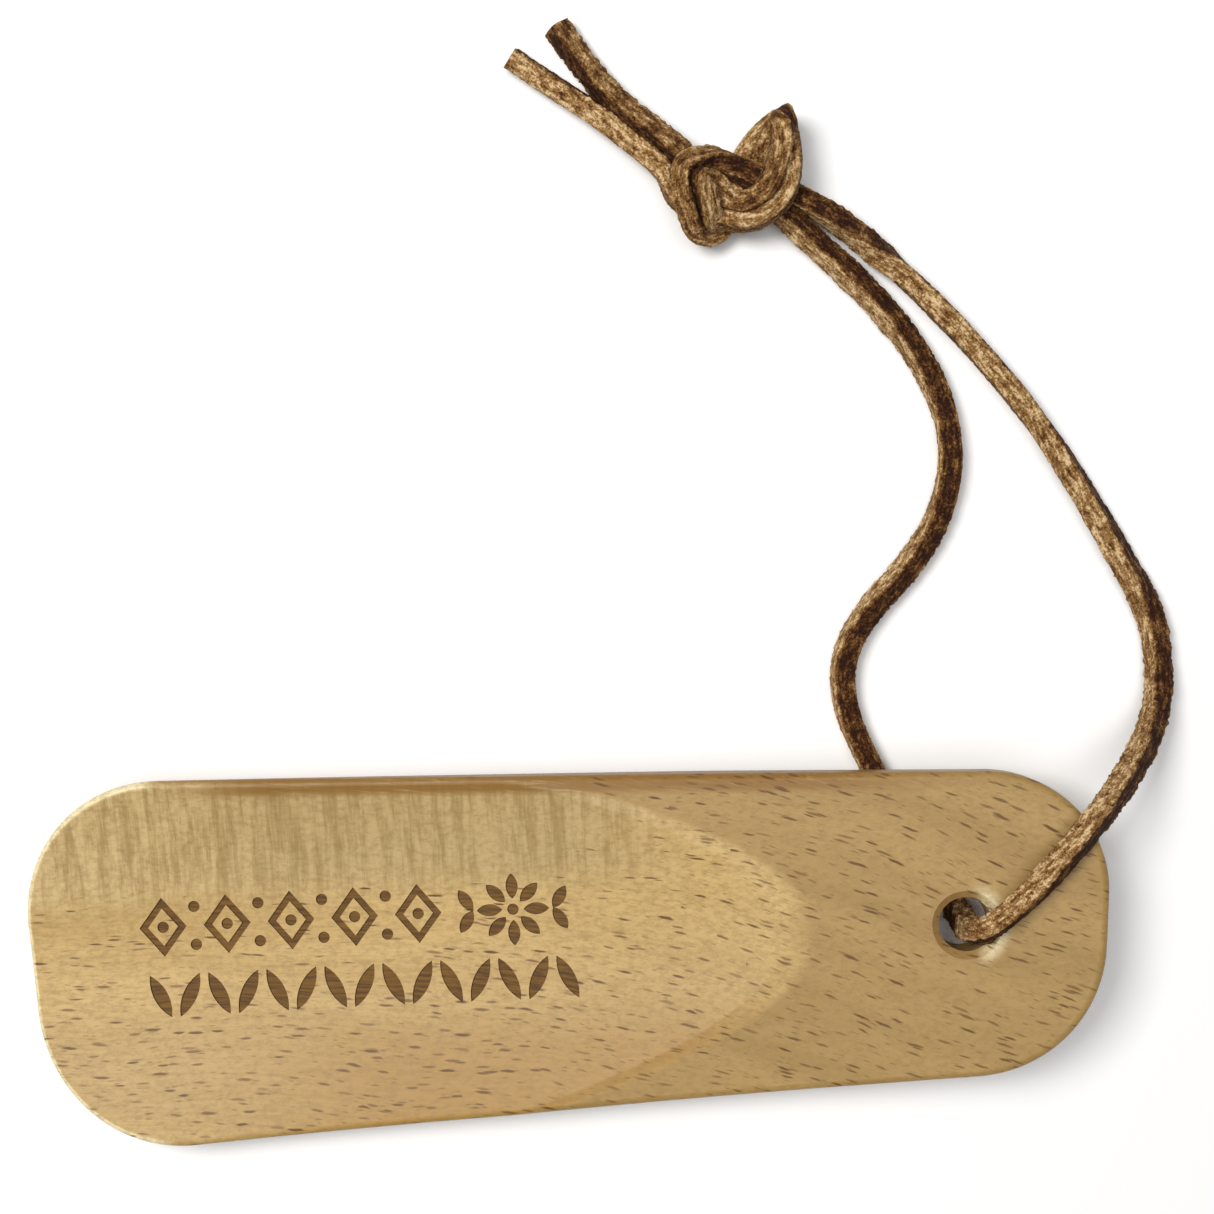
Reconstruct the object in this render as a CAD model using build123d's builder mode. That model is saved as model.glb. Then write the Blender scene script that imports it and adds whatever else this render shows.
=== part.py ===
from build123d import *
import os
from math import asin, atan, cos, degrees, pi, radians, sin, tan

# A pocket shoehorn: a beech body with a dished blade and a drilled handle, and a leather lace
# knotted into a loop through the hole.
# Frame: +X towards the handle's end, +Z up, origin on the resting plane under the body's middle.
# Millimetres and degrees.

# ---------------------------------------------------------------- driving dimensions
# body, seen from above
body_length = 150.0
tip_width = 52.5            # across the blade's tip, before its corners are rounded
end_width = 40.5            # across the handle's end, before its corners are rounded
tip_corners = (21.0, 19.0)  # the corner on the -Y side, then the one on the +Y side
end_corners = (19.0, 16.0)
tip_bulge = 0.9             # how far the middle of the tip stands proud of its corners
end_bulge = 0.9
tip_lean = 1.6              # how far the +Y corner stands past the middle of the tip
end_lean = 1.9
tip_inset = 0.15            # the leaning ends' middles stand this much short of body_length
end_inset = 0.53

# top face, seen from the side: flat over the blade, rising along the handle
blade_height = 9.5
top_bend_x = 0.0            # where the top starts to rise
top_bend_radius = 400.0
top_slope = 0.10            # rise of the handle's top face, per millimetre

# underside, seen from the side: a flat foot that curves up to both ends
foot_back = -12.0
foot_front = 15.0
tip_rise = 3.32             # height of the underside at the tip
heel_bend_radius = 90.0
under_slope = 0.135         # rise of the handle's underside, per millimetre

# underside, seen from the end
foot_half_width = 7.0
hull_radius = 34.0
hull_margin = 3.0           # the hull is drawn this much wider than the body

edge_round = 1.0            # rounding along the outline, above and below
dish_round = 0.8            # rounding round the dish's rim

# the dish in the blade
dish_x = -41.0              # its deepest point
dish_floor = 4.2            # height of the wood there
dish_length_radius = 400.0
dish_cross_radius = 70.0

# the lace hole
hole_x = 55.5
hole_diameter = 7.4
hole_bevel = 1.0

# burnt ornament, sunk into the dish: two bands and a rosette
burn_depth = 0.3
upper_band_left = -59.5
upper_band_y = 4.6
lozenge_count = 5
lozenge_pitch = 9.0
lozenge_width = 6.6
lozenge_height = 8.4
lozenge_line = 1.2
spot_radius = 0.8
spot_offset = 2.7           # the spots between lozenges, from the band's middle
rosette_x = -6.8
petal_count = 8
petal_length = 3.6
petal_width = 1.7
petal_hub = 1.5             # bare wood in the rosette's middle
sprig_offset = 6.6          # the pairs of leaves beside the rosette, from its middle
sprig_spread = 1.5
sprig_tilt = 58.0
lower_band_left = -57.0
lower_band_y = -5.1
leaf_count = 15
leaf_pitch = 4.1
leaf_length = 6.6
leaf_width = 2.0
leaf_tilt = 26.0

# the lace and its knot
lace_diameter = 3.2
bend_share = 0.45           # each bend takes up this much of the shorter run beside it
socket_clearance = 0.4      # round each strand where it runs into the knot
knot_base = 0.2
knot_height = 8.6
knot_round = 2.6
knot_corner = 2.4

# ---------------------------------------------------------------- worked-out values
half_length = body_length / 2
tip_run = half_length + foot_back
tip_sweep_radius = (tip_run ** 2 + tip_rise ** 2) / (2 * tip_rise)
reach = 10.0                # cutters run this far past what they cut
cutter_top = 30.0
top_angle = degrees(atan(top_slope))
under_angle = degrees(atan(under_slope))


def rise_at(x, bend_x, bend_radius, slope):
    """Rise of a face that bends from level at bend_x to a straight slope, at x beyond its bend."""
    angle = atan(slope)
    bend_run = bend_radius * sin(angle)
    bend_rise = bend_radius * (1 - cos(angle))
    return bend_rise + (x - bend_x - bend_run) * slope


hole_top = blade_height + rise_at(hole_x, top_bend_x, top_bend_radius, top_slope)
hole_bottom = rise_at(hole_x, foot_front, heel_bend_radius, under_slope)
mid_bore = (hole_top + hole_bottom) / 2
dish_point = (dish_x, 0, dish_floor)


# ---------------------------------------------------------------- the dish's cutter
def dish_cutter(grow):
    """The ring-shaped space above the dish, grown outwards by grow."""
    centre_z = dish_floor + dish_length_radius
    start_angle = degrees(atan((half_length + dish_x + reach) / dish_length_radius))
    sweep_angle = start_angle + degrees(atan((half_length - dish_x) / dish_length_radius))
    up = Vector(sin(radians(start_angle)), 0, cos(radians(start_angle)))
    side = Vector(0, 1, 0)
    start = Plane(origin=(dish_x, 0, centre_z), x_dir=side, z_dir=side.cross(up))
    low = -dish_length_radius - grow
    half_width = tip_width / 2 + reach
    edge = low + dish_cross_radius + grow - ((dish_cross_radius + grow) ** 2 - half_width ** 2) ** 0.5
    with BuildPart() as cutter:
        with BuildSketch(start):
            with BuildLine():
                ThreePointArc((-half_width, edge), (0, low), (half_width, edge))
                Polyline((half_width, edge), (half_width, low + cutter_top),
                         (-half_width, low + cutter_top), (-half_width, edge))
            make_face()
        revolve(axis=Axis((dish_x, 0, centre_z), (0, -1, 0)), revolution_arc=sweep_angle)
    return cutter.part


# ---------------------------------------------------------------- the ornament
def leaf(length, width):
    """A leaf pointed at both ends, lying along X."""
    with BuildSketch() as outline:
        with BuildLine():
            ThreePointArc((-length / 2, 0), (0, width / 2), (length / 2, 0))
            ThreePointArc((length / 2, 0), (0, -width / 2), (-length / 2, 0))
        make_face()
    return outline.sketch


petal = leaf(petal_length, petal_width)
band_leaf = leaf(leaf_length, leaf_width)

with BuildPart() as burn:
    with BuildSketch(Plane.XY):
        # upper band: open lozenges with a spot between each two
        lozenge_x = upper_band_left + lozenge_width / 2
        for i in range(lozenge_count):
            with Locations((lozenge_x + i * lozenge_pitch, upper_band_y)):
                Polygon((-lozenge_width / 2, 0), (0, -lozenge_height / 2),
                        (lozenge_width / 2, 0), (0, lozenge_height / 2))
        for i in range(lozenge_count):
            with Locations((lozenge_x + i * lozenge_pitch, upper_band_y)):
                Polygon((-lozenge_width / 2 + lozenge_line, 0),
                        (0, -lozenge_height / 2 + lozenge_line * lozenge_height / lozenge_width),
                        (lozenge_width / 2 - lozenge_line, 0),
                        (0, lozenge_height / 2 - lozenge_line * lozenge_height / lozenge_width),
                        mode=Mode.SUBTRACT)
                Circle(spot_radius)
        for i in range(lozenge_count - 1):
            for side in (-1, 1):
                with Locations((lozenge_x + (i + 0.5) * lozenge_pitch,
                                upper_band_y + side * spot_offset)):
                    Circle(spot_radius)
        # rosette with a pair of leaves on each side
        with Locations((rosette_x, upper_band_y)):
            with PolarLocations(petal_hub + petal_length / 2, petal_count):
                add(petal)
            Circle(spot_radius)
        for side in (-1, 1):
            for tilt in (-1, 1):
                with Locations(Location((rosette_x + side * sprig_offset,
                                         upper_band_y + tilt * sprig_spread),
                                        side * tilt * sprig_tilt)):
                    add(petal)
        # lower band: leaves leaning to and fro
        for i in range(leaf_count):
            lean = 90 + leaf_tilt * (1 if i % 2 == 0 else -1)
            with Locations(Location((lower_band_left + i * leaf_pitch, lower_band_y), lean)):
                add(band_leaf)
    extrude(amount=cutter_top)
    add(dish_cutter(burn_depth), mode=Mode.INTERSECT)


# ---------------------------------------------------------------- the body
def rim_edges(faces, above):
    """The edges that the upright walls share with the faces above them, or below them."""
    nearly_level = 0.01
    edges = ShapeList()
    for wall in faces.filter_by(lambda face: abs(face.normal_at().Z) < nearly_level):
        for edge in wall.edges().filter_by(Axis.Z, reverse=True):
            if (edge.center().Z > wall.center().Z) == above:
                edges.append(edge)
    return edges


# the outline from above: tapered, with bulging, leaning ends and rounded corners
tip_x = -half_length + tip_inset
end_x = half_length - end_inset
with BuildSketch() as outline:
    with BuildLine():
        tip_edge = ThreePointArc((tip_x + tip_bulge - tip_lean, tip_width / 2), (tip_x, 0),
                                 (tip_x + tip_bulge + tip_lean, -tip_width / 2))
        end_edge = ThreePointArc((end_x - end_bulge - end_lean, -end_width / 2), (end_x, 0),
                                 (end_x - end_bulge + end_lean, end_width / 2))
        Line(tip_edge @ 1, end_edge @ 0)
        Line(end_edge @ 1, tip_edge @ 0)
    make_face()
    for point, radius in ((tip_edge @ 1, tip_corners[0]), (tip_edge @ 0, tip_corners[1]),
                          (end_edge @ 0, end_corners[0]), (end_edge @ 1, end_corners[1])):
        fillet(outline.vertices().sort_by_distance(point)[0], radius)

with BuildPart() as shoehorn_body:
    # outline from above, centred on the origin
    with BuildSketch(Plane.XY.offset(-reach)):
        middle = outline.sketch.bounding_box().center()
        add(Pos(-middle.X, -middle.Y) * outline.sketch)
    extrude(amount=reach + cutter_top)

    # side view of the top face
    with BuildSketch(Plane.XZ):
        with BuildLine():
            flat = Line((-half_length - reach, blade_height), (top_bend_x, blade_height))
            bend = JernArc(flat @ 1, flat % 1, top_bend_radius, top_angle)
            rise = PolarLine(bend @ 1, half_length, direction=bend % 1)
            Polyline(rise @ 1, ((rise @ 1).X, -reach), (-half_length - reach, -reach), flat @ 0)
        make_face()
    extrude(amount=tip_width, both=True, mode=Mode.INTERSECT)

    # the hull: the underside's cross-section carried along its side view
    with BuildLine(Plane.XZ) as keel:
        foot = Line((foot_back, 0), (foot_front, 0))
        sweep_back = JernArc(foot @ 0, -(foot % 0), tip_sweep_radius,
                             -degrees(atan((tip_run + reach) / tip_sweep_radius)))
        heel = JernArc(foot @ 1, foot % 1, heel_bend_radius, under_angle)
        PolarLine(heel @ 1, half_length, direction=heel % 1)
    keel_start = Plane(origin=sweep_back @ 1, x_dir=(0, 1, 0), z_dir=-(sweep_back % 1))
    hull_edge = tip_width / 2 + hull_margin
    bilge_angle = asin((hull_edge - foot_half_width) / hull_radius)
    bilge_run = hull_radius * sin(bilge_angle / 2)
    bilge_rise = hull_radius * (1 - cos(bilge_angle / 2))
    hull_rise = hull_radius * (1 - cos(bilge_angle))
    with BuildSketch(keel_start):
        with BuildLine():
            keel_flat = Line((-foot_half_width, 0), (foot_half_width, 0))
            bilge = ThreePointArc(keel_flat @ 1, (foot_half_width + bilge_run, bilge_rise),
                                  (hull_edge, hull_rise))
            other = ThreePointArc(keel_flat @ 0, (-foot_half_width - bilge_run, bilge_rise),
                                  (-hull_edge, hull_rise))
            Polyline(bilge @ 1, (hull_edge, cutter_top), (-hull_edge, cutter_top), other @ 1)
        make_face()
    sweep(path=keel.line, mode=Mode.INTERSECT)

    # the outline's edges, above and below, then the dish and its rim
    fillet(rim_edges(shoehorn_body.faces(), above=True), edge_round)
    fillet(rim_edges(shoehorn_body.faces(), above=False), edge_round)
    add(dish_cutter(0), mode=Mode.SUBTRACT)
    dish = shoehorn_body.faces().filter_by(GeomType.PLANE, reverse=True).sort_by_distance(dish_point)[0]
    fillet(dish.edges(), dish_round)

    # the lace hole with its bevels, then the burnt ornament
    with BuildSketch(Plane.XY.offset(-reach)):
        with Locations((hole_x, 0)):
            Circle(hole_diameter / 2)
    extrude(amount=reach + cutter_top, mode=Mode.SUBTRACT)
    bore = shoehorn_body.faces().filter_by(GeomType.CYLINDER).sort_by_distance((hole_x, 0, mid_bore))[0]
    chamfer(bore.edges().filter_by(GeomType.ELLIPSE), hole_bevel)
    add(burn.part, mode=Mode.SUBTRACT)
shoehorn_body.part.label = "shoehorn_body"


# ---------------------------------------------------------------- the lace's route
# Heights are of the lace's middle. It lies on the resting plane, except through the hole, over the
# handle and into the knot.
resting = lace_diameter / 2 + 0.02
over_top = hole_top + 2.7

front_points = [
    (hole_x, 0.0, mid_bore),
    (hole_x, 0.0, over_top - 3.1),
    (hole_x + 3.0, -0.8, over_top),
    (63.2, 1.6, over_top + 0.6),
    (67.5, 7.2, over_top + 1.2),
    (72.0, 13.6, over_top + 1.3),
    (77.2, 18.0, 13.0),
    (82.2, 23.0, 7.6),
    (85.6, 28.4, 3.3),
    (86.7, 34.4, resting),
    (85.9, 41.2, resting),
    (82.2, 49.0, resting),
    (77.0, 59.2, resting),
    (71.4, 69.0, resting),
    (64.4, 78.6, resting),
    (56.6, 87.8, resting),
    (48.6, 95.6, 2.4),
    (42.2, 100.5, 4.0),
    (36.8, 103.8, 5.2),
]
back_points = [
    (hole_x, 0.0, mid_bore),
    (hole_x, 0.0, resting + 3.1),
    (hole_x - 1.4, 2.8, resting),
    (51.9, 7.9, resting),
    (48.2, 14.6, resting),
    (44.4, 22.6, resting),
    (41.5, 30.2, resting),
    (41.7, 37.6, resting),
    (46.0, 44.0, resting),
    (52.0, 49.6, resting),
    (57.0, 56.8, resting),
    (59.2, 65.8, resting),
    (57.4, 74.8, resting),
    (52.4, 83.8, resting),
    (46.0, 91.4, resting),
    (40.4, 96.6, 2.6),
    (36.0, 100.0, 3.6),
]
long_tail_points = [
    (22.2, 104.6, 3.8),
    (16.9, 109.6, 3.2),
    (10.6, 115.4, 2.2),
    (4.6, 120.9, resting),
    (-0.6, 124.9, resting),
]
short_tail_points = [
    (25.2, 107.6, 5.6),
    (20.6, 112.0, 4.4),
    (15.2, 116.8, 2.9),
    (10.4, 122.0, resting),
    (6.0, 129.0, resting),
]

# the knot, seen from above, from the front strand round by the tails
knot_points = [(39.4, 101.8), (40.2, 109.4), (38.4, 115.2), (34.2, 112.6), (28.6, 111.2),
               (22.2, 109.4), (19.4, 104.2), (21.4, 98.4), (27.0, 96.4), (34.4, 97.0)]


def lace_route(points):
    """Straight runs joined by arcs that are each as large as their two runs allow."""
    radii = []
    for before, here, after in zip(points, points[1:], points[2:]):
        run_in = Vector(here) - Vector(before)
        run_out = Vector(after) - Vector(here)
        half_turn = radians(run_in.get_angle(run_out)) / 2
        radii.append(bend_share * min(run_in.length, run_out.length) / tan(half_turn))
    with BuildLine() as route:
        FilletPolyline(*points, radius=radii)
    return route.wire(), radii


def lace_tube(name, points):
    """A round tube along the route, with its length and its bends printed."""
    line, radii = lace_route(points)
    with BuildPart() as tube:
        with BuildSketch(Plane(origin=line @ 0, z_dir=line % 0)):
            Circle(lace_diameter / 2)
        sweep(path=line)
    tube.part.label = name
    expected = pi * (lace_diameter / 2) ** 2 * line.length
    print(f"{name}: length {line.length:.1f}, volume {tube.part.volume:.1f} of {expected:.1f},",
          "radii", [round(radius, 1) for radius in radii])
    return tube.part


def end_plane(points):
    """Where a tube ends and which way it runs out of the knot, from its last two points."""
    return Plane(origin=points[0], z_dir=Vector(points[1]) - Vector(points[0]))


lace_parts = {
    "lace_front_strand": lace_tube("lace_front_strand", front_points),
    "lace_back_strand": lace_tube("lace_back_strand", back_points),
    "lace_tail_long": lace_tube("lace_tail_long", long_tail_points),
    "lace_tail_short": lace_tube("lace_tail_short", short_tail_points),
}

# ---------------------------------------------------------------- the knot
with BuildPart() as lace_knot:
    with BuildSketch(Plane.XY.offset(knot_base)) as knot_outline:
        with BuildLine():
            Polyline(*knot_points, close=True)
        make_face()
        fillet(knot_outline.vertices(), knot_corner)
    extrude(amount=knot_height)
    fillet(lace_knot.faces().sort_by(Axis.Z)[-1].edges(), knot_round)
    fillet(lace_knot.faces().sort_by(Axis.Z)[0].edges(), knot_round)
    # a flat-bottomed socket for each strand and tail
    for points in (front_points[::-1], back_points[::-1], long_tail_points, short_tail_points):
        with BuildSketch(end_plane(points)):
            Circle(lace_diameter / 2 + socket_clearance)
        extrude(amount=reach, mode=Mode.SUBTRACT)
lace_knot.part.label = "lace_knot"

# ---------------------------------------------------------------- files
os.makedirs("parts", exist_ok=True)
export_step(shoehorn_body.part, "parts/shoehorn_body.step")
export_step(lace_knot.part, "parts/lace_knot.step")
for name, part in lace_parts.items():
    export_step(part, f"parts/{name}.step")
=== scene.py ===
"""A beech pocket shoehorn with a suede lace knotted through its handle."""
import math
import random

import bpy
from mathutils import Matrix, Vector, noise


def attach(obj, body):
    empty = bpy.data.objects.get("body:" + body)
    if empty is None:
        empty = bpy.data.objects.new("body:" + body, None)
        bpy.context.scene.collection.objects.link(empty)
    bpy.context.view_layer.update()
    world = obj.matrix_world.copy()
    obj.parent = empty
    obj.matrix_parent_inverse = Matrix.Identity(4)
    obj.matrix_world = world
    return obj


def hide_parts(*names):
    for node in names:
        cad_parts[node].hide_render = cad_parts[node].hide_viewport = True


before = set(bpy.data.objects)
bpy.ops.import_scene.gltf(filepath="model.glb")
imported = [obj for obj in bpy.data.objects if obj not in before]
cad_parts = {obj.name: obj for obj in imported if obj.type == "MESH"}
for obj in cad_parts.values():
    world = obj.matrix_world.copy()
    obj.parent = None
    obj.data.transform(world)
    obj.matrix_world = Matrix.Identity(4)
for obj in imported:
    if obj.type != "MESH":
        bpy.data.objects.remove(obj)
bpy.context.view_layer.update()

MM = 0.001

# ---------------------------------------------------------------- sizes that the finish follows (mm)
HOLE_X = 55.5
BORE_MIDDLE = 8.83
BORE_TOP = 13.05
DISH_X = -41.0
DISH_FLOOR = 4.2
DISH_LENGTH_RADIUS = 400.0
DISH_CROSS_RADIUS = 70.0
BURN_DEPTH = 0.3
LACE_SIDE = 3.15            # the lace is cut square
LACE_DIAMETER = 3.2


# ---------------------------------------------------------------- camera, light and floor
CAMERA_HEIGHT = 300.0
CAMERA_OVER = (8.7, 46.2)
CAMERA_ROLL = -3.15
VIEW_WIDTH = 168.45         # seen across the body's top face
TOP_FACE = 9.0
SENSOR_WIDTH = 36.0
LAMPS_AIM_AT = (10, 35, 0)
WORLD_COLOUR = (1.0, 0.99, 0.975, 1)
WORLD_STRENGTH = 0.12
KEY_PLACE = (-285, 205, 650)
KEY_SIZE = 280
KEY_WATTS = 3.9
KEY_COLOUR = (1.0, 0.985, 0.96)
OVERHEAD_SPREAD = 50.0      # degrees: soft light from straight above, even over the whole floor
OVERHEAD_STRENGTH = 1.42
OVERHEAD_COLOUR = (0.985, 0.99, 1.0)
FLOOR_SIDE = 24.0           # metres
FLOOR_DROP = 0.03           # the floor lies this much under the object
FLOOR_COLOUR = (0.93, 0.93, 0.93, 1)


def make_camera():
    data = bpy.data.cameras.new("camera")
    data.sensor_width = SENSOR_WIDTH
    data.lens = data.sensor_width * (CAMERA_HEIGHT - TOP_FACE) / VIEW_WIDTH
    data.clip_start = 0.01
    camera = bpy.data.objects.new("camera", data)
    camera.location = (CAMERA_OVER[0] * MM, CAMERA_OVER[1] * MM, CAMERA_HEIGHT * MM)
    camera.rotation_euler = (0, 0, math.radians(CAMERA_ROLL))
    bpy.context.scene.collection.objects.link(camera)
    bpy.context.scene.camera = camera


def area_light(name, place, size, watts, colour):
    """A square lamp at place (mm) that looks at the middle of the object."""
    data = bpy.data.lights.new(name, "AREA")
    data.size = size * MM
    data.energy = watts
    data.color = colour
    lamp = bpy.data.objects.new(name, data)
    lamp.location = Vector(place) * MM
    aim = Vector(LAMPS_AIM_AT) * MM - lamp.location
    lamp.rotation_euler = aim.to_track_quat("-Z", "Y").to_euler()
    bpy.context.scene.collection.objects.link(lamp)


def make_light():
    world = bpy.data.worlds.new("studio")
    world.use_nodes = True
    background = world.node_tree.nodes["Background"]
    background.inputs["Color"].default_value = WORLD_COLOUR
    background.inputs["Strength"].default_value = WORLD_STRENGTH
    bpy.context.scene.world = world
    area_light("key", KEY_PLACE, KEY_SIZE, KEY_WATTS, KEY_COLOUR)
    data = bpy.data.lights.new("overhead", "SUN")
    data.angle = math.radians(OVERHEAD_SPREAD)
    data.energy = OVERHEAD_STRENGTH
    data.color = OVERHEAD_COLOUR
    bpy.context.scene.collection.objects.link(bpy.data.objects.new("overhead", data))
    bpy.context.scene.view_settings.view_transform = "Standard"


def make_floor():
    bpy.ops.mesh.primitive_plane_add(size=FLOOR_SIDE, location=(0, 0, -FLOOR_DROP * MM))
    floor = bpy.context.object
    floor.name = "floor"
    material = bpy.data.materials.new("pale_floor")
    material.use_nodes = True
    shader = material.node_tree.nodes["Principled BSDF"]
    shader.inputs["Base Color"].default_value = FLOOR_COLOUR
    shader.inputs["Roughness"].default_value = 0.9
    shader.inputs["Specular IOR Level"].default_value = 0.1
    floor.data.materials.append(material)


# ---------------------------------------------------------------- the lace's route (mm)
# Both strands start in the middle of the bore. The front one leaves by the top of the hole and
# crosses the handle; the back one leaves by the underside. They run side by side through the knot.
RESTING = LACE_DIAMETER / 2 + 0.02     # height of the lace's middle on the floor
OVER_TOP = BORE_TOP + 2.7

FRONT_STRAND = [
    (HOLE_X + 0.7, -1.0, BORE_MIDDLE),
    (HOLE_X + 0.8, -1.1, OVER_TOP - 3.1),
    (HOLE_X + 2.4, -0.4, OVER_TOP - 0.2),
    (62.4, 3.0, OVER_TOP + 0.5),
    (67.2, 7.6, OVER_TOP + 1.0),
    (72.2, 12.8, OVER_TOP + 1.0),
    (77.2, 17.2, 12.8),
    (82.2, 22.2, 7.6),
    (85.8, 27.8, 3.3),
    (86.7, 34.4, RESTING),
    (85.9, 41.2, RESTING),
    (82.2, 49.0, RESTING),
    (77.0, 59.2, RESTING),
    (71.4, 69.0, RESTING),
    (64.4, 78.6, RESTING),
    (56.6, 87.8, RESTING),
    (48.6, 95.6, 2.4),
    (42.2, 100.5, 4.0),
]
BACK_STRAND = [
    (HOLE_X + 0.7, -1.0, BORE_MIDDLE),
    (HOLE_X + 0.7, -0.4, RESTING + 3.1),
    (HOLE_X - 0.4, 2.6, RESTING),
    (51.4, 7.9, RESTING),
    (48.2, 14.6, RESTING),
    (44.4, 22.6, RESTING),
    (41.5, 30.2, RESTING),
    (41.7, 37.6, RESTING),
    (46.0, 44.0, RESTING),
    (52.0, 49.6, RESTING),
    (57.0, 56.8, RESTING),
    (59.2, 65.8, RESTING),
    (57.4, 74.8, RESTING),
    (52.4, 83.8, RESTING),
    (46.0, 91.4, RESTING),
    (40.4, 96.6, 2.6),
]
# The knot's middle line, and the way from it to the front strand. The back strand lies opposite.
KNOT = [
    ((37.2, 101.9, 3.9), (0.56, 0.83, 0.0)),
    ((33.4, 104.4, 4.6), (0.50, 0.86, 0.1)),
    ((29.6, 105.9, 4.9), (0.40, 0.90, 0.1)),
    ((26.4, 107.1, 6.2), (0.10, 0.99, 0.1)),
    ((23.8, 106.3, 7.6), (-0.75, 0.66, 0.0)),
    ((23.6, 104.4, 8.2), (-0.97, 0.20, 0.0)),
    ((24.3, 101.4, 7.7), (-0.97, -0.22, 0.0)),
    ((25.0, 98.8, 5.3), (-0.85, -0.5, 0.0)),
    ((26.8, 99.2, 1.8), (0.1, -0.99, 0.0)),
    ((29.4, 102.2, 1.6), (0.88, -0.46, 0.0)),
    ((31.4, 106.2, 1.6), (0.92, -0.38, 0.0)),
    ((33.6, 110.2, 3.2), (0.6, -0.4, 0.6)),
    ((36.8, 113.6, 5.2), (0.1, -0.2, 0.95)),
    ((37.4, 112.8, 7.0), (-0.1, 0.1, 0.95)),
    ((37.0, 107.2, 8.1), (-0.8, 0.1, 0.55)),
    ((35.6, 102.6, 8.1), (-0.75, 0.55, 0.3)),
    ((32.0, 100.2, 7.0), (-0.4, 0.9, 0.1)),
    ((28.2, 101.2, 4.6), (0.2, 0.97, 0.0)),
    ((25.0, 102.9, 4.2), (0.4, 0.91, 0.0)),
    ((22.5, 104.2, 4.2), (0.6, 0.8, 0.0)),
]
KNOT_HALF_GAP = 1.4
LONG_TAIL = [
    (20.4, 107.2, 4.2),
    (16.4, 111.2, 3.4),
    (11.0, 116.2, 2.3),
    (4.6, 120.9, RESTING),
    (-0.6, 124.9, RESTING),
]
SHORT_TAIL = [
    (23.2, 109.1, 4.6),
    (19.2, 112.6, 4.0),
    (14.6, 116.8, 2.7),
    (10.4, 122.0, RESTING),
    (6.0, 129.0, RESTING),
]


def knot_side(side):
    """The knot's points for one strand: side is 1 for the front one and -1 for the back one."""
    points = []
    for middle, way in KNOT:
        points.append(tuple(Vector(middle) + Vector(way).normalized() * KNOT_HALF_GAP * side))
    return points


def route_line(points):
    """The smooth line, in metres, of a NURBS spline with these points (mm)."""
    curve = bpy.data.curves.new("route", "CURVE")
    curve.dimensions = "3D"
    spline = curve.splines.new("NURBS")
    spline.points.add(len(points) - 1)
    for control, point in zip(spline.points, points):
        control.co = (*(value * MM for value in point), 1.0)
    spline.order_u = 3
    spline.use_endpoint_u = True
    spline.resolution_u = 10
    holder = bpy.data.objects.new("route", curve)
    bpy.context.scene.collection.objects.link(holder)
    mesh = bpy.data.meshes.new_from_object(holder)
    line = [vertex.co.copy() for vertex in mesh.vertices]
    bpy.data.objects.remove(holder)
    bpy.data.meshes.remove(mesh)
    bpy.data.curves.remove(curve)
    return line


# ---------------------------------------------------------------- the lace's mesh
RING_STEP = 0.3             # between the lace's rings
AROUND = 32                 # points round its section
SQUARENESS = 9.0
PIT_DEPTH = 0.14
PINCH = 0.93                # the lace is squeezed a little in the knot
PINCH_EASE = 4.0            # and eases into that over this length
SWELL = 0.05                # its width wanders by this share
END_BULGE = 0.12            # its cut ends stand out this much in the middle
CUT_END_TONE = 0.75
LOWEST = 0.02               # nothing of the lace lies lower than this
# how far the lace is turned (degrees) at each distance (mm): 0 shows its flesh side from above,
# 90 and 270 its cut sides and 180 its grain side
FRONT_TURNS = [
    (0, 104), (10, 112), (24, 128), (40, 145), (52, 165), (62, 158), (72, 128), (84, 118),
    (100, 95), (122, 95), (134, 160), (142, 180), (152, 190), (160, 240), (172, 265),
    (190, 280), (200, 285), (214, 265), (226, 240), (300, 228),
]
BACK_TURNS = [
    (0, 180), (26, 180), (42, 172), (60, 152), (80, 180), (92, 165), (104, 150),
    (118, 150), (126, 165), (136, 110), (150, 90), (176, 80), (190, 70), (202, 105), (300, 112),
]
FRONT_KNOT_SPAN = (142, 224)
BACK_KNOT_SPAN = (121, 200)
# how light the flesh side, a cut side, the grain side and the other cut side are
SIDE_TONES = (0.46, 0.66, 0.13, 0.50)


def evenly(line, step):
    """Points along the line, step apart, with the distance run at each."""
    total = sum((b - a).length for a, b in zip(line, line[1:]))
    count = max(2, round(total / step))
    want = [total * i / count for i in range(count + 1)]
    points, run, index = [], 0.0, 0
    for distance in want:
        while index < len(line) - 2 and run + (line[index + 1] - line[index]).length < distance:
            run += (line[index + 1] - line[index]).length
            index += 1
        piece = line[index + 1] - line[index]
        share = (distance - run) / piece.length if piece.length else 0.0
        points.append((line[index] + piece * min(max(share, 0.0), 1.0), distance))
    return points


def turned(keys, distance):
    """The lace's turn in degrees at this distance (mm), eased between the listed keys."""
    before = keys[0]
    for key in keys:
        if distance < key[0]:
            share = (distance - before[0]) / (key[0] - before[0])
            share = share * share * (3 - 2 * share)
            return before[1] + (key[1] - before[1]) * share
        before = key
    return keys[-1][1]


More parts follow.
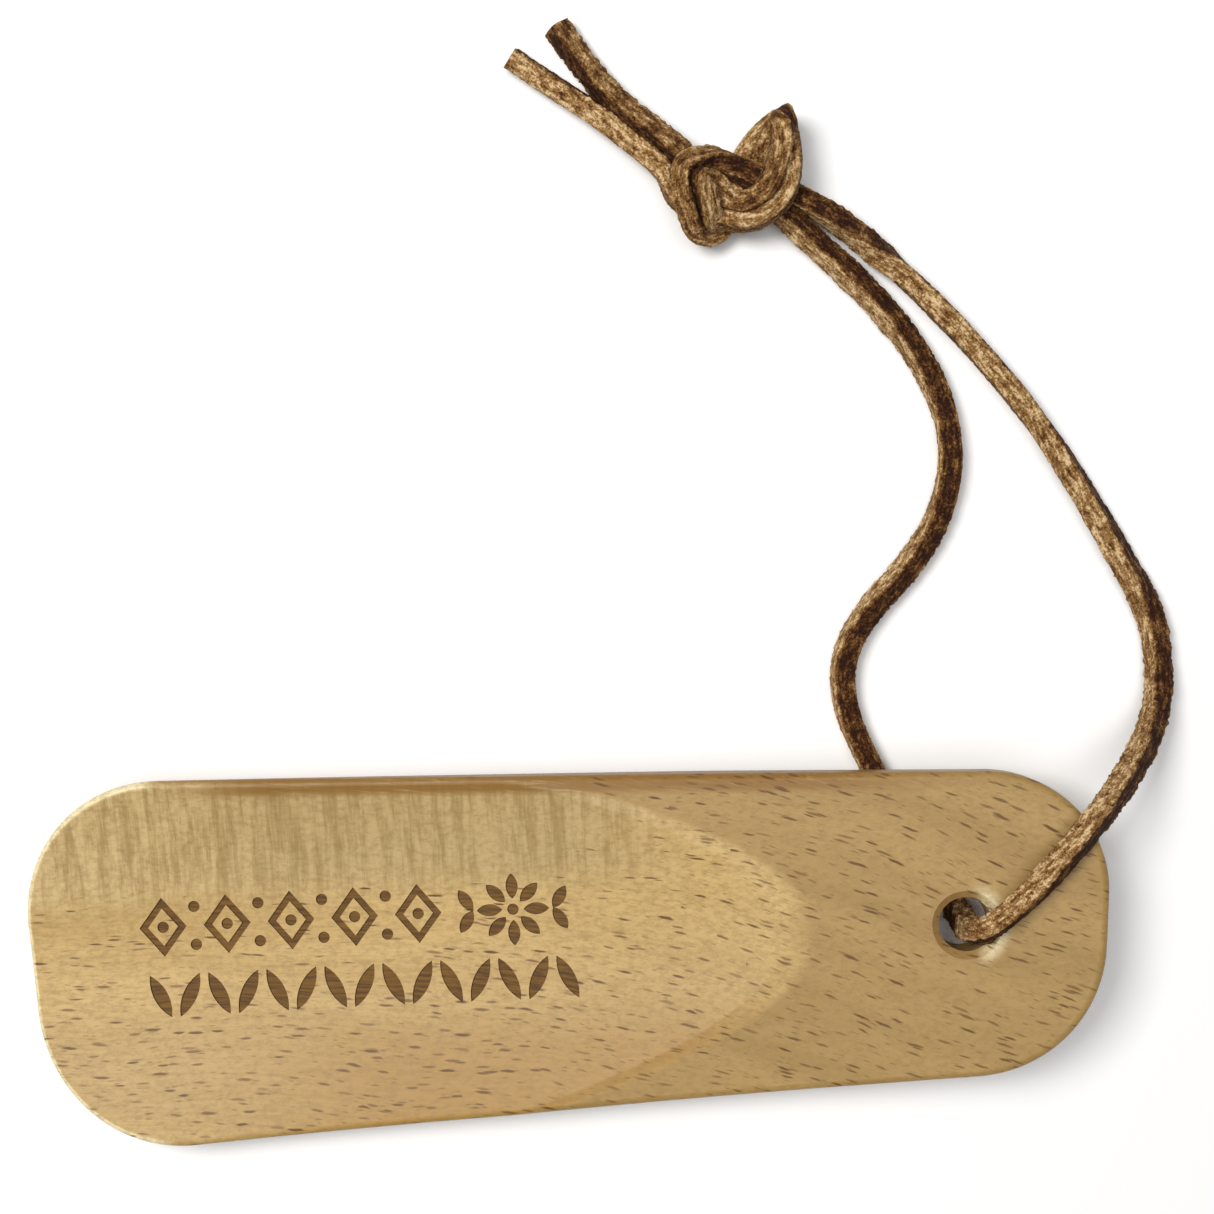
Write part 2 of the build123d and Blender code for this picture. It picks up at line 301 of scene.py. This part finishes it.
def lace_rings(line, keys):
    """Centre, upward direction, distance (mm) and direction along the lace of each ring."""
    stations = evenly(line, RING_STEP * MM)
    rings, upward = [], Vector((-1, 0, 0))
    for i, (centre, distance) in enumerate(stations):
        ahead = stations[min(i + 1, len(stations) - 1)][0]
        behind = stations[max(i - 1, 0)][0]
        along = (ahead - behind).normalized()
        carried = (upward - along * upward.dot(along)).normalized()
        plumb = Vector((0, 0, 1)) - along * along.z
        share = min(max((plumb.length - 0.35) / 0.4, 0.0), 1.0) * 0.25
        upward = carried.lerp(plumb.normalized(), share).normalized() if plumb.length > 1e-6 else carried
        spin = Matrix.Rotation(math.radians(turned(keys, distance / MM)), 3, along)
        # seen along the lace, a turn carries the top of the section over to the left
        rings.append((centre, spin.inverted() @ upward, distance / MM, along))
    return rings


def side_shares(angle):
    """How much each of the four sides holds at this angle round the section."""
    shares = []
    for side in range(4):
        off = abs((angle - side * math.pi / 2 + math.pi) % (2 * math.pi) - math.pi)
        shares.append(min(max((math.pi / 4 + 0.12 - off) / 0.24, 0.0), 1.0))
    return shares


def build_lace(name, points, keys, knot_span, seed):
    """The square-cut lace as one closed mesh along its route."""
    line = route_line(points)
    rings = lace_rings(line, keys)
    vertices, faces, tones, runs = [], [], [], []
    shift = Vector((seed * 7.3, seed * 3.1, seed * 5.7))
    length = rings[-1][2]
    for centre, upward, distance, along in rings:
        sideways = along.cross(upward)
        in_knot = min(max(min(distance - knot_span[0], knot_span[1] - distance) / PINCH_EASE, 0.0), 1.0)
        swell = 1.0 + SWELL * noise.noise(Vector((distance * 0.16, seed, 0.0)))
        half = LACE_SIDE / 2 * swell * (1 - (1 - PINCH) * in_knot)
        for j in range(AROUND):
            angle = 2 * math.pi * j / AROUND
            c, s = math.cos(angle), math.sin(angle)
            reach = half / (abs(c) ** SQUARENESS + abs(s) ** SQUARENESS) ** (1 / SQUARENESS)
            spot = Vector((distance * 1.5, c * 3.2, s * 3.2)) + shift
            rough = noise.noise(spot) + 0.7 * noise.noise(spot * 2.3) + 0.45 * noise.noise(spot * 4.7)
            edge = max(0.0, min(1.0, (reach / half - 1.17) / 0.1))
            reach += PIT_DEPTH * rough * (0.75 + 0.9 * edge)
            vertices.append(centre + (upward * c + sideways * s) * reach * MM)
            runs.append(Vector((distance, c * reach, s * reach)) + shift)
            shares = side_shares(angle)
            tone = sum(a * b for a, b in zip(shares, SIDE_TONES)) / sum(shares)
            tones.append((tone, edge, 0.5 + 0.5 * rough / 1.3, 1.0))
    last = len(rings) - 1
    for i in range(last):
        for j in range(AROUND):
            k = (j + 1) % AROUND
            a, b = i * AROUND, (i + 1) * AROUND
            faces.append((a + j, a + k, b + k, b + j))
    for i, order in ((0, -1), (last, 1)):
        middle = len(vertices)
        centre, upward, distance, along = rings[i]
        vertices.append(centre + along * order * END_BULGE * MM)
        runs.append(Vector((distance, 0, 0)) + shift)
        tones.append((CUT_END_TONE, 0.0, 0.5, 1.0))
        for j in range(AROUND):
            pair = (i * AROUND + j, i * AROUND + (j + 1) % AROUND)
            faces.append((middle, *(pair if order > 0 else pair[::-1])))
    add_fibres(rings, vertices, faces, tones, runs, seed)
    for vertex in vertices:
        vertex.z = max(vertex.z, LOWEST * MM)
    mesh = bpy.data.meshes.new(name)
    mesh.from_pydata([tuple(v) for v in vertices], [], faces)
    # red holds the side's tone, green the cut edges and blue how far the surface stands out
    painted = mesh.color_attributes.new("lace_tone", "FLOAT_COLOR", "POINT")
    for i, value in enumerate(tones):
        painted.data[i].color = value
    unrolled = mesh.attributes.new("lace_run", "FLOAT_VECTOR", "POINT")
    for i, value in enumerate(runs):
        unrolled.data[i].vector = value
    mesh.polygons.foreach_set("use_smooth", [True] * len(mesh.polygons))
    mesh.validate()
    lace = bpy.data.objects.new(name, mesh)
    bpy.context.scene.collection.objects.link(lace)
    return lace, [centre for centre, *_ in rings], length


FIBRE_GAP = 0.34            # one loose fibre for each stretch this long
FIBRE_ROOT = 0.25           # how deep a fibre starts in the lace
FIBRE_RISE = 0.7            # a fibre is shaded as if it stood this high


def add_fibres(rings, vertices, faces, tones, runs, seed):
    """Loose fibres that stand off the lace, most of them at its cut edges."""
    draw = random.Random(seed)
    length = rings[-1][2]
    for _ in range(int(length / FIBRE_GAP)):
        centre, upward, distance, along = rings[draw.randrange(4, len(rings) - 1)]
        sideways = along.cross(upward)
        angle = math.pi / 4 + math.pi / 2 * draw.randrange(4) + draw.gauss(0, 0.22)
        out = upward * math.cos(angle) + sideways * math.sin(angle)
        foot = centre + out * LACE_SIDE * 0.56 * MM
        lean = (out * draw.uniform(0.2, 0.9) + along * draw.choice((-1, 1)) * draw.uniform(0.3, 1.2))
        tip = foot + lean.normalized() * draw.uniform(0.25, 0.75) * MM
        wide = along.cross(out) * draw.uniform(0.03, 0.07) * MM
        start = len(vertices)
        vertices += [foot - wide - out * FIBRE_ROOT * MM, foot + wide - out * FIBRE_ROOT * MM, tip]
        shade = draw.uniform(0.3, 0.95)
        tones += [(shade, 0.0, FIBRE_RISE, 1.0)] * 3
        runs += [Vector((distance, angle, 0.0))] * 3
        faces.append((start, start + 1, start + 2))


# ---------------------------------------------------------------- shader helpers
def new_material(name):
    material = bpy.data.materials.new(name)
    material.use_nodes = True
    return material, material.node_tree, material.node_tree.nodes["Principled BSDF"]


def math_node(tree, operation, first, second=None):
    node = tree.nodes.new("ShaderNodeMath")
    node.operation = operation
    for socket, value in zip(node.inputs, (first, second)):
        if value is None:
            continue
        if isinstance(value, (int, float)):
            socket.default_value = value
        else:
            tree.links.new(value, socket)
    return node.outputs[0]


def ramp(tree, value, low, high):
    """0 below low, 1 above high, smooth between; low may be the larger."""
    node = tree.nodes.new("ShaderNodeMapRange")
    node.interpolation_type = "SMOOTHSTEP"
    node.inputs["From Min"].default_value = low
    node.inputs["From Max"].default_value = high
    tree.links.new(value, node.inputs["Value"])
    return node.outputs["Result"]


def mix_colour(tree, share, first, second):
    """first where share is 0, second where it is 1."""
    node = tree.nodes.new("ShaderNodeMix")
    node.data_type = "RGBA"
    for name, value in (("Factor_Float", share), ("A_Color", first), ("B_Color", second)):
        socket = next(s for s in node.inputs if s.identifier == name)
        if isinstance(value, (int, float)):
            socket.default_value = value
        elif isinstance(value, tuple):
            socket.default_value = (*value, 1)
        else:
            tree.links.new(value, socket)
    return next(s for s in node.outputs if s.identifier == "Result_Color")


def stretched(tree, vector, scale):
    node = tree.nodes.new("ShaderNodeMapping")
    node.inputs["Scale"].default_value = scale
    tree.links.new(vector, node.inputs["Vector"])
    return node.outputs["Vector"]


def noise_value(tree, vector, scale=1.0, detail=2.0, roughness=0.5):
    node = tree.nodes.new("ShaderNodeTexNoise")
    node.inputs["Scale"].default_value = scale
    node.inputs["Detail"].default_value = detail
    node.inputs["Roughness"].default_value = roughness
    tree.links.new(vector, node.inputs["Vector"])
    return node.outputs["Fac"]


def bump(tree, height, strength, distance):
    node = tree.nodes.new("ShaderNodeBump")
    node.inputs["Strength"].default_value = strength
    node.inputs["Distance"].default_value = distance * MM
    tree.links.new(height, node.inputs["Height"])
    return node.outputs["Normal"]


def place_in_mm(tree):
    """Object coordinates in millimetres, and their three parts."""
    coordinates = tree.nodes.new("ShaderNodeTexCoord")
    scale = tree.nodes.new("ShaderNodeVectorMath")
    scale.operation = "SCALE"
    scale.inputs["Scale"].default_value = 1 / MM
    tree.links.new(coordinates.outputs["Object"], scale.inputs[0])
    split = tree.nodes.new("ShaderNodeSeparateXYZ")
    tree.links.new(scale.outputs[0], split.inputs[0])
    return scale.outputs[0], split.outputs


def joined(tree, x, y, z):
    node = tree.nodes.new("ShaderNodeCombineXYZ")
    for socket, value in zip(node.inputs, (x, y, z)):
        if isinstance(value, (int, float)):
            socket.default_value = value
        else:
            tree.links.new(value, socket)
    return node.outputs[0]


def length_of(tree, vector):
    node = tree.nodes.new("ShaderNodeVectorMath")
    node.operation = "LENGTH"
    tree.links.new(vector, node.inputs[0])
    return node.outputs["Value"]


# ---------------------------------------------------------------- beech
WOOD_LIGHT = (0.590, 0.405, 0.160)
WOOD_MID = (0.500, 0.330, 0.120)
WOOD_HANDLE = (0.335, 0.207, 0.064)
# painted shade colour for the dish's lower wall
GOLDEN_SHADE = (0.360, 0.195, 0.040)
WOOD_LINE = (0.265, 0.150, 0.044)
WOOD_RAY = (0.105, 0.042, 0.005)
WOOD_PALE = (0.600, 0.455, 0.225)
WOOD_STREAK = (0.300, 0.205, 0.078)
WOOD_RIM = (0.235, 0.112, 0.020)
# painted highlight along the blade's tip
TIP_HIGHLIGHT = (0.880, 0.770, 0.470)
# painted highlight past the hole, on the handle's end side
HOLE_HIGHLIGHT = (0.800, 0.680, 0.400)
# painted shade on the hole's bevel
BEVEL_SHADE = (0.360, 0.210, 0.078)
BURNT = (0.165, 0.076, 0.012)
BURNT_DARK = (0.056, 0.020, 0.003)


def dish_depth(tree, x, y, z):
    """How deep a point lies under the dish's surface, in millimetres."""
    axis_z = DISH_FLOOR + DISH_LENGTH_RADIUS
    from_axis = length_of(tree, joined(tree, math_node(tree, "SUBTRACT", x, DISH_X), 0.0,
                                       math_node(tree, "SUBTRACT", z, axis_z)))
    across = math_node(tree, "SUBTRACT", from_axis, DISH_LENGTH_RADIUS - DISH_CROSS_RADIUS)
    return math_node(tree, "SUBTRACT", length_of(tree, joined(tree, across, y, 0.0)),
                     DISH_CROSS_RADIUS)


def ray_flecks(tree, along, across, deep, cell, size, keep, seed):
    """Short dark dashes. cell and size are (along, across, deep) in mm; keep thins them out."""
    vector = joined(tree, math_node(tree, "DIVIDE", along, cell[0]),
                    math_node(tree, "DIVIDE", across, cell[1]),
                    math_node(tree, "ADD", math_node(tree, "DIVIDE", deep, cell[2]), seed))
    node = tree.nodes.new("ShaderNodeTexVoronoi")
    node.voronoi_dimensions = "3D"
    node.inputs["Scale"].default_value = 1.0
    tree.links.new(vector, node.inputs["Vector"])
    draw = tree.nodes.new("ShaderNodeSeparateColor")
    tree.links.new(node.outputs["Color"], draw.inputs[0])
    dash = ramp(tree, node.outputs["Distance"], size, size * 0.45)
    chosen = math_node(tree, "LESS_THAN", draw.outputs[0], keep)
    strength = math_node(tree, "ADD", math_node(tree, "MULTIPLY", draw.outputs[1], 0.5), 0.5)
    return math_node(tree, "MULTIPLY", math_node(tree, "MULTIPLY", dash, chosen), strength)


def make_beech():
    material, tree, shader = new_material("oiled_beech")
    place, (x, y, z) = place_in_mm(tree)
    depth = dish_depth(tree, x, y, z)
    # the grain leans down towards the handle's end, more and more over the turning stretch
    into_turn = math_node(tree, "MAXIMUM", math_node(tree, "ADD", x, 10.0), 0.0)
    turning = math_node(tree, "MINIMUM", into_turn, 50.0)
    past_turn = math_node(tree, "SUBTRACT", into_turn, turning)
    bent = math_node(tree, "MULTIPLY", math_node(tree, "POWER", turning, 2.0), 0.003)
    lean = math_node(tree, "ADD", math_node(tree, "MULTIPLY", x, 0.09),
                     math_node(tree, "ADD", bent, math_node(tree, "MULTIPLY", past_turn, 0.3)))
    wander = noise_value(tree, stretched(tree, place, (0.03, 0.05, 0.05)), 1.0, 1.0)
    kink = noise_value(tree, stretched(tree, place, (0.4, 0.5, 0.5)), 1.0, 2.0)
    across = math_node(tree, "ADD", math_node(tree, "ADD", y, lean),
                       math_node(tree, "MULTIPLY", wander, 5.0))
    across = math_node(tree, "ADD", across, math_node(tree, "MULTIPLY", kink, 0.5))
    grain_place = joined(tree, x, across, z)

    on_dish = math_node(tree, "MULTIPLY", ramp(tree, depth, 0.55, 0.3),
                        ramp(tree, x, 36.0, 30.0))
    upper_wall = math_node(tree, "MULTIPLY", on_dish,
                           math_node(tree, "MULTIPLY", ramp(tree, y, 5.0, 12.0),
                                     ramp(tree, x, 24.0, 0.0)))
    bands = noise_value(tree, stretched(tree, grain_place, (0.012, 0.16, 0.16)), 1.0, 3.0)
    lines = noise_value(tree, stretched(tree, grain_place, (0.10, 2.6, 2.6)), 1.0, 4.0, 0.6)
    pores = noise_value(tree, stretched(tree, grain_place, (0.9, 7.5, 7.5)), 1.0, 2.0, 0.6)
    streaks = noise_value(tree, stretched(tree, place, (0.9, 0.09, 0.09)), 1.0, 5.0, 0.7)
    mottle = noise_value(tree, stretched(tree, place, (0.8, 1.3, 1.3)), 1.0, 4.0, 0.7)

    colour = mix_colour(tree, ramp(tree, bands, 0.3, 0.7), WOOD_MID, WOOD_LIGHT)
    handle = mix_colour(tree, math_node(tree, "MULTIPLY", ramp(tree, bands, 0.3, 0.7), 0.45),
                        WOOD_HANDLE, WOOD_MID)
    colour = mix_colour(tree, math_node(tree, "SUBTRACT", 1.0, on_dish), colour, handle)
    colour = mix_colour(tree, math_node(tree, "MULTIPLY", ramp(tree, lines, 0.42, 0.68), 0.30),
                        colour, WOOD_HANDLE)
    colour = mix_colour(tree, math_node(tree, "MULTIPLY", ramp(tree, pores, 0.54, 0.72), 0.35),
                        colour, WOOD_LINE)
    pale = mix_colour(tree, ramp(tree, streaks, 0.4, 0.66), WOOD_PALE, WOOD_STREAK)
    colour = mix_colour(tree, math_node(tree, "MULTIPLY", upper_wall, 0.7), colour, pale)
    # the dish is greyer on its upper side past the tip; painted shade: its lower side is painted darker
    dull = math_node(tree, "MULTIPLY", upper_wall, ramp(tree, x, -60.0, -36.0))
    colour = mix_colour(tree, math_node(tree, "MULTIPLY", dull, 0.30), colour, WOOD_STREAK)
    lower_side_shade = math_node(tree, "MULTIPLY", ramp(tree, y, -2.0, -14.0), ramp(tree, x, 40.0, 10.0))
    colour = mix_colour(tree, math_node(tree, "MULTIPLY", lower_side_shade, 0.30), colour, WOOD_HANDLE)
    # painted shade: the dish's lower wall is painted a darker gold
    golden_shade = math_node(tree, "MULTIPLY", on_dish,
                       math_node(tree, "MULTIPLY", ramp(tree, y, -7.0, -16.0),
                                 ramp(tree, x, -62.0, -20.0)))
    colour = mix_colour(tree, math_node(tree, "MULTIPLY", golden_shade, 0.75), colour, GOLDEN_SHADE)
    from_side = math_node(tree, "ADD", y, math_node(tree, "MULTIPLY", x, 0.04))
    rim = math_node(tree, "MULTIPLY", ramp(tree, from_side, 20.2, 21.6),
                    math_node(tree, "MULTIPLY", ramp(tree, x, 66.0, 30.0),
                              ramp(tree, x, -58.0, -40.0)))
    rim = math_node(tree, "MULTIPLY", rim, ramp(tree, lines, 0.2, 0.5))
    colour = mix_colour(tree, math_node(tree, "MULTIPLY", rim, 0.9), colour, WOOD_RIM)
    # painted highlight: the blade's tip is painted pale along its rounded edge, where the light from the
    # left catches it
    tip_highlight = math_node(tree, "MULTIPLY", math_node(tree, "MULTIPLY", ramp(tree, depth, 0.0, 0.12),
                                                 ramp(tree, depth, 1.6, 1.0)),
                     math_node(tree, "MULTIPLY", ramp(tree, x, -36.0, -56.0),
                               ramp(tree, length_of(tree, joined(tree, x, y, 0.0)), 60.0, 63.0)))
    colour = mix_colour(tree, math_node(tree, "MULTIPLY", tip_highlight, 0.78), colour, TIP_HIGHLIGHT)
    # painted shade and painted highlight: the hole's bevel is painted a darker brown as shade, and the
    # wood past it on the handle's end side is painted pale as a highlight
    from_hole = length_of(tree, joined(tree, math_node(tree, "SUBTRACT", x, HOLE_X), y, 0.0))
    bevel_shade = math_node(tree, "MULTIPLY", ramp(tree, from_hole, 5.3, 4.9), ramp(tree, z, 8.0, 10.5))
    colour = mix_colour(tree, math_node(tree, "MULTIPLY", bevel_shade, 0.6), colour, BEVEL_SHADE)
    hole_highlight = math_node(tree, "MULTIPLY", ramp(tree, from_hole, 6.6, 4.4),
                       math_node(tree, "MULTIPLY", ramp(tree, x, HOLE_X + 0.5, HOLE_X + 3.5),
                                 ramp(tree, z, 8.0, 11.0)))
    colour = mix_colour(tree, math_node(tree, "MULTIPLY", hole_highlight, 0.9), colour, HOLE_HIGHLIGHT)

    colour = mix_colour(tree, math_node(tree, "MULTIPLY", ramp(tree, mottle, 0.4, 0.68), 0.44),
                        colour, WOOD_LINE)
    # ray flecks: dense low on the blade, thin on the handle, none on the dish's upper wall
    low_side = math_node(tree, "MAXIMUM", ramp(tree, y, 6.0, -8.0), ramp(tree, x, 5.0, 30.0))
    keep = math_node(tree, "ADD", math_node(tree, "MULTIPLY", low_side, 0.72), 0.28)
    keep = math_node(tree, "MULTIPLY", keep, math_node(tree, "SUBTRACT", 1.0, upper_wall))
    flecks = ray_flecks(tree, x, across, z, (6.2, 1.0, 2.6), 0.25, keep, 3.0)
    others = ray_flecks(tree, x, across, z, (4.6, 0.85, 2.2), 0.25, keep, 17.0)
    small = ray_flecks(tree, x, across, z, (2.8, 0.6, 1.8), 0.22, keep, 11.0)
    ray = math_node(tree, "MAXIMUM", math_node(tree, "MAXIMUM", flecks, others),
                    math_node(tree, "MULTIPLY", small, 0.5))
    colour = mix_colour(tree, math_node(tree, "MULTIPLY", ray, 0.97), colour, WOOD_RAY)

    # the burnt ornament is wherever the wood lies just under the dish's surface
    near = math_node(tree, "MULTIPLY", math_node(tree, "MULTIPLY", ramp(tree, x, 6.0, 4.0),
                                                 ramp(tree, x, -64.0, -62.0)),
                     math_node(tree, "MULTIPLY", ramp(tree, y, 12.0, 11.0),
                               ramp(tree, y, -12.0, -11.0)))
    burn = math_node(tree, "MULTIPLY", near,
                     math_node(tree, "MULTIPLY", ramp(tree, depth, 0.02, BURN_DEPTH * 0.5),
                               ramp(tree, depth, 1.2, 0.8)))
    char = mix_colour(tree, ramp(tree, lines, 0.35, 0.65), BURNT_DARK, BURNT)
    colour = mix_colour(tree, math_node(tree, "MULTIPLY", burn, 0.93), colour, char)
    tree.links.new(colour, shader.inputs["Base Color"])

    rough = math_node(tree, "ADD", math_node(tree, "MULTIPLY", lines, 0.16), 0.36)
    rough = math_node(tree, "ADD", rough, math_node(tree, "MULTIPLY", burn, 0.3))
    # the painted highlight past the hole is also made less rough
    rough = math_node(tree, "SUBTRACT", rough, math_node(tree, "MULTIPLY", hole_highlight, 0.2))
    tree.links.new(rough, shader.inputs["Roughness"])
    shader.inputs["Specular IOR Level"].default_value = 0.28
    height = math_node(tree, "SUBTRACT", math_node(tree, "MULTIPLY", lines, 0.5),
                       math_node(tree, "MULTIPLY", ray, 0.9))
    tree.links.new(bump(tree, height, 0.35, 0.06), shader.inputs["Normal"])
    return material


# ---------------------------------------------------------------- suede
SUEDE_TONES = (
    (0.0, (0.022, 0.005, 0.0005)),
    (0.25, (0.080, 0.026, 0.004)),
    (0.5, (0.205, 0.094, 0.024)),
    (0.75, (0.385, 0.220, 0.080)),
    (1.0, (0.780, 0.560, 0.310)),
)


def make_suede():
    material, tree, shader = new_material("square_cut_suede")
    place, _ = place_in_mm(tree)
    painted = tree.nodes.new("ShaderNodeVertexColor")
    painted.layer_name = "lace_tone"
    split = tree.nodes.new("ShaderNodeSeparateColor")
    tree.links.new(painted.outputs["Color"], split.inputs[0])
    side, edge, relief_shading = split.outputs
    unrolled = tree.nodes.new("ShaderNodeAttribute")
    unrolled.attribute_name = "lace_run"
    strands = stretched(tree, unrolled.outputs["Vector"], (0.42, 1.5, 1.5))
    patches = noise_value(tree, place, 0.35, 3.0, 0.6)
    nap = noise_value(tree, strands, 1.0, 6.0, 0.75)
    fine = noise_value(tree, place, 3.2, 5.0, 0.75)

    def spread(value, amount):
        return math_node(tree, "MULTIPLY", math_node(tree, "SUBTRACT", value, 0.5), amount)

    tone = math_node(tree, "ADD", side, spread(patches, 0.95))
    tone = math_node(tree, "ADD", tone, spread(nap, 2.4))
    tone = math_node(tree, "ADD", tone, spread(fine, 1.8))
    # painted shade and painted highlight: the suede is painted darker in its pits and lighter where its
    # surface stands out
    tone = math_node(tree, "ADD", tone, spread(relief_shading, 0.6))
    tone = math_node(tree, "ADD", tone, math_node(tree, "MULTIPLY", edge, 0.16))
    colours = tree.nodes.new("ShaderNodeValToRGB")
    stops = colours.color_ramp.elements
    while len(stops) < len(SUEDE_TONES):
        stops.new(0.5)
    for stop, (position, colour) in zip(stops, SUEDE_TONES):
        stop.position = position
        stop.color = (*colour, 1)
    tree.links.new(tone, colours.inputs[0])
    tree.links.new(colours.outputs[0], shader.inputs["Base Color"])
    shader.inputs["Roughness"].default_value = 0.85
    shader.inputs["Specular IOR Level"].default_value = 0.25
    height = math_node(tree, "ADD", nap, math_node(tree, "MULTIPLY", fine, 0.45))
    tree.links.new(bump(tree, height, 1.0, 0.35), shader.inputs["Normal"])
    return material


# ---------------------------------------------------------------- making
make_camera()
make_light()
make_floor()

suede = make_suede()
front, front_line, front_length = build_lace(
    "lace_front", FRONT_STRAND + knot_side(1) + SHORT_TAIL, FRONT_TURNS, FRONT_KNOT_SPAN, 1)
back, back_line, back_length = build_lace(
    "lace_back", BACK_STRAND + knot_side(-1) + LONG_TAIL, BACK_TURNS, BACK_KNOT_SPAN, 2)
print("lace lengths (mm):", round(front_length, 1), round(back_length, 1))
for lace in (front, back):
    lace.data.materials.append(suede)
    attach(lace, "lace")
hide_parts("lace_front_strand", "lace_knot", "lace_tail_short")
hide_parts("lace_back_strand", "lace_tail_long")

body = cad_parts["shoehorn_body"]
beech = make_beech()
for slot in body.material_slots:
    slot.material = beech
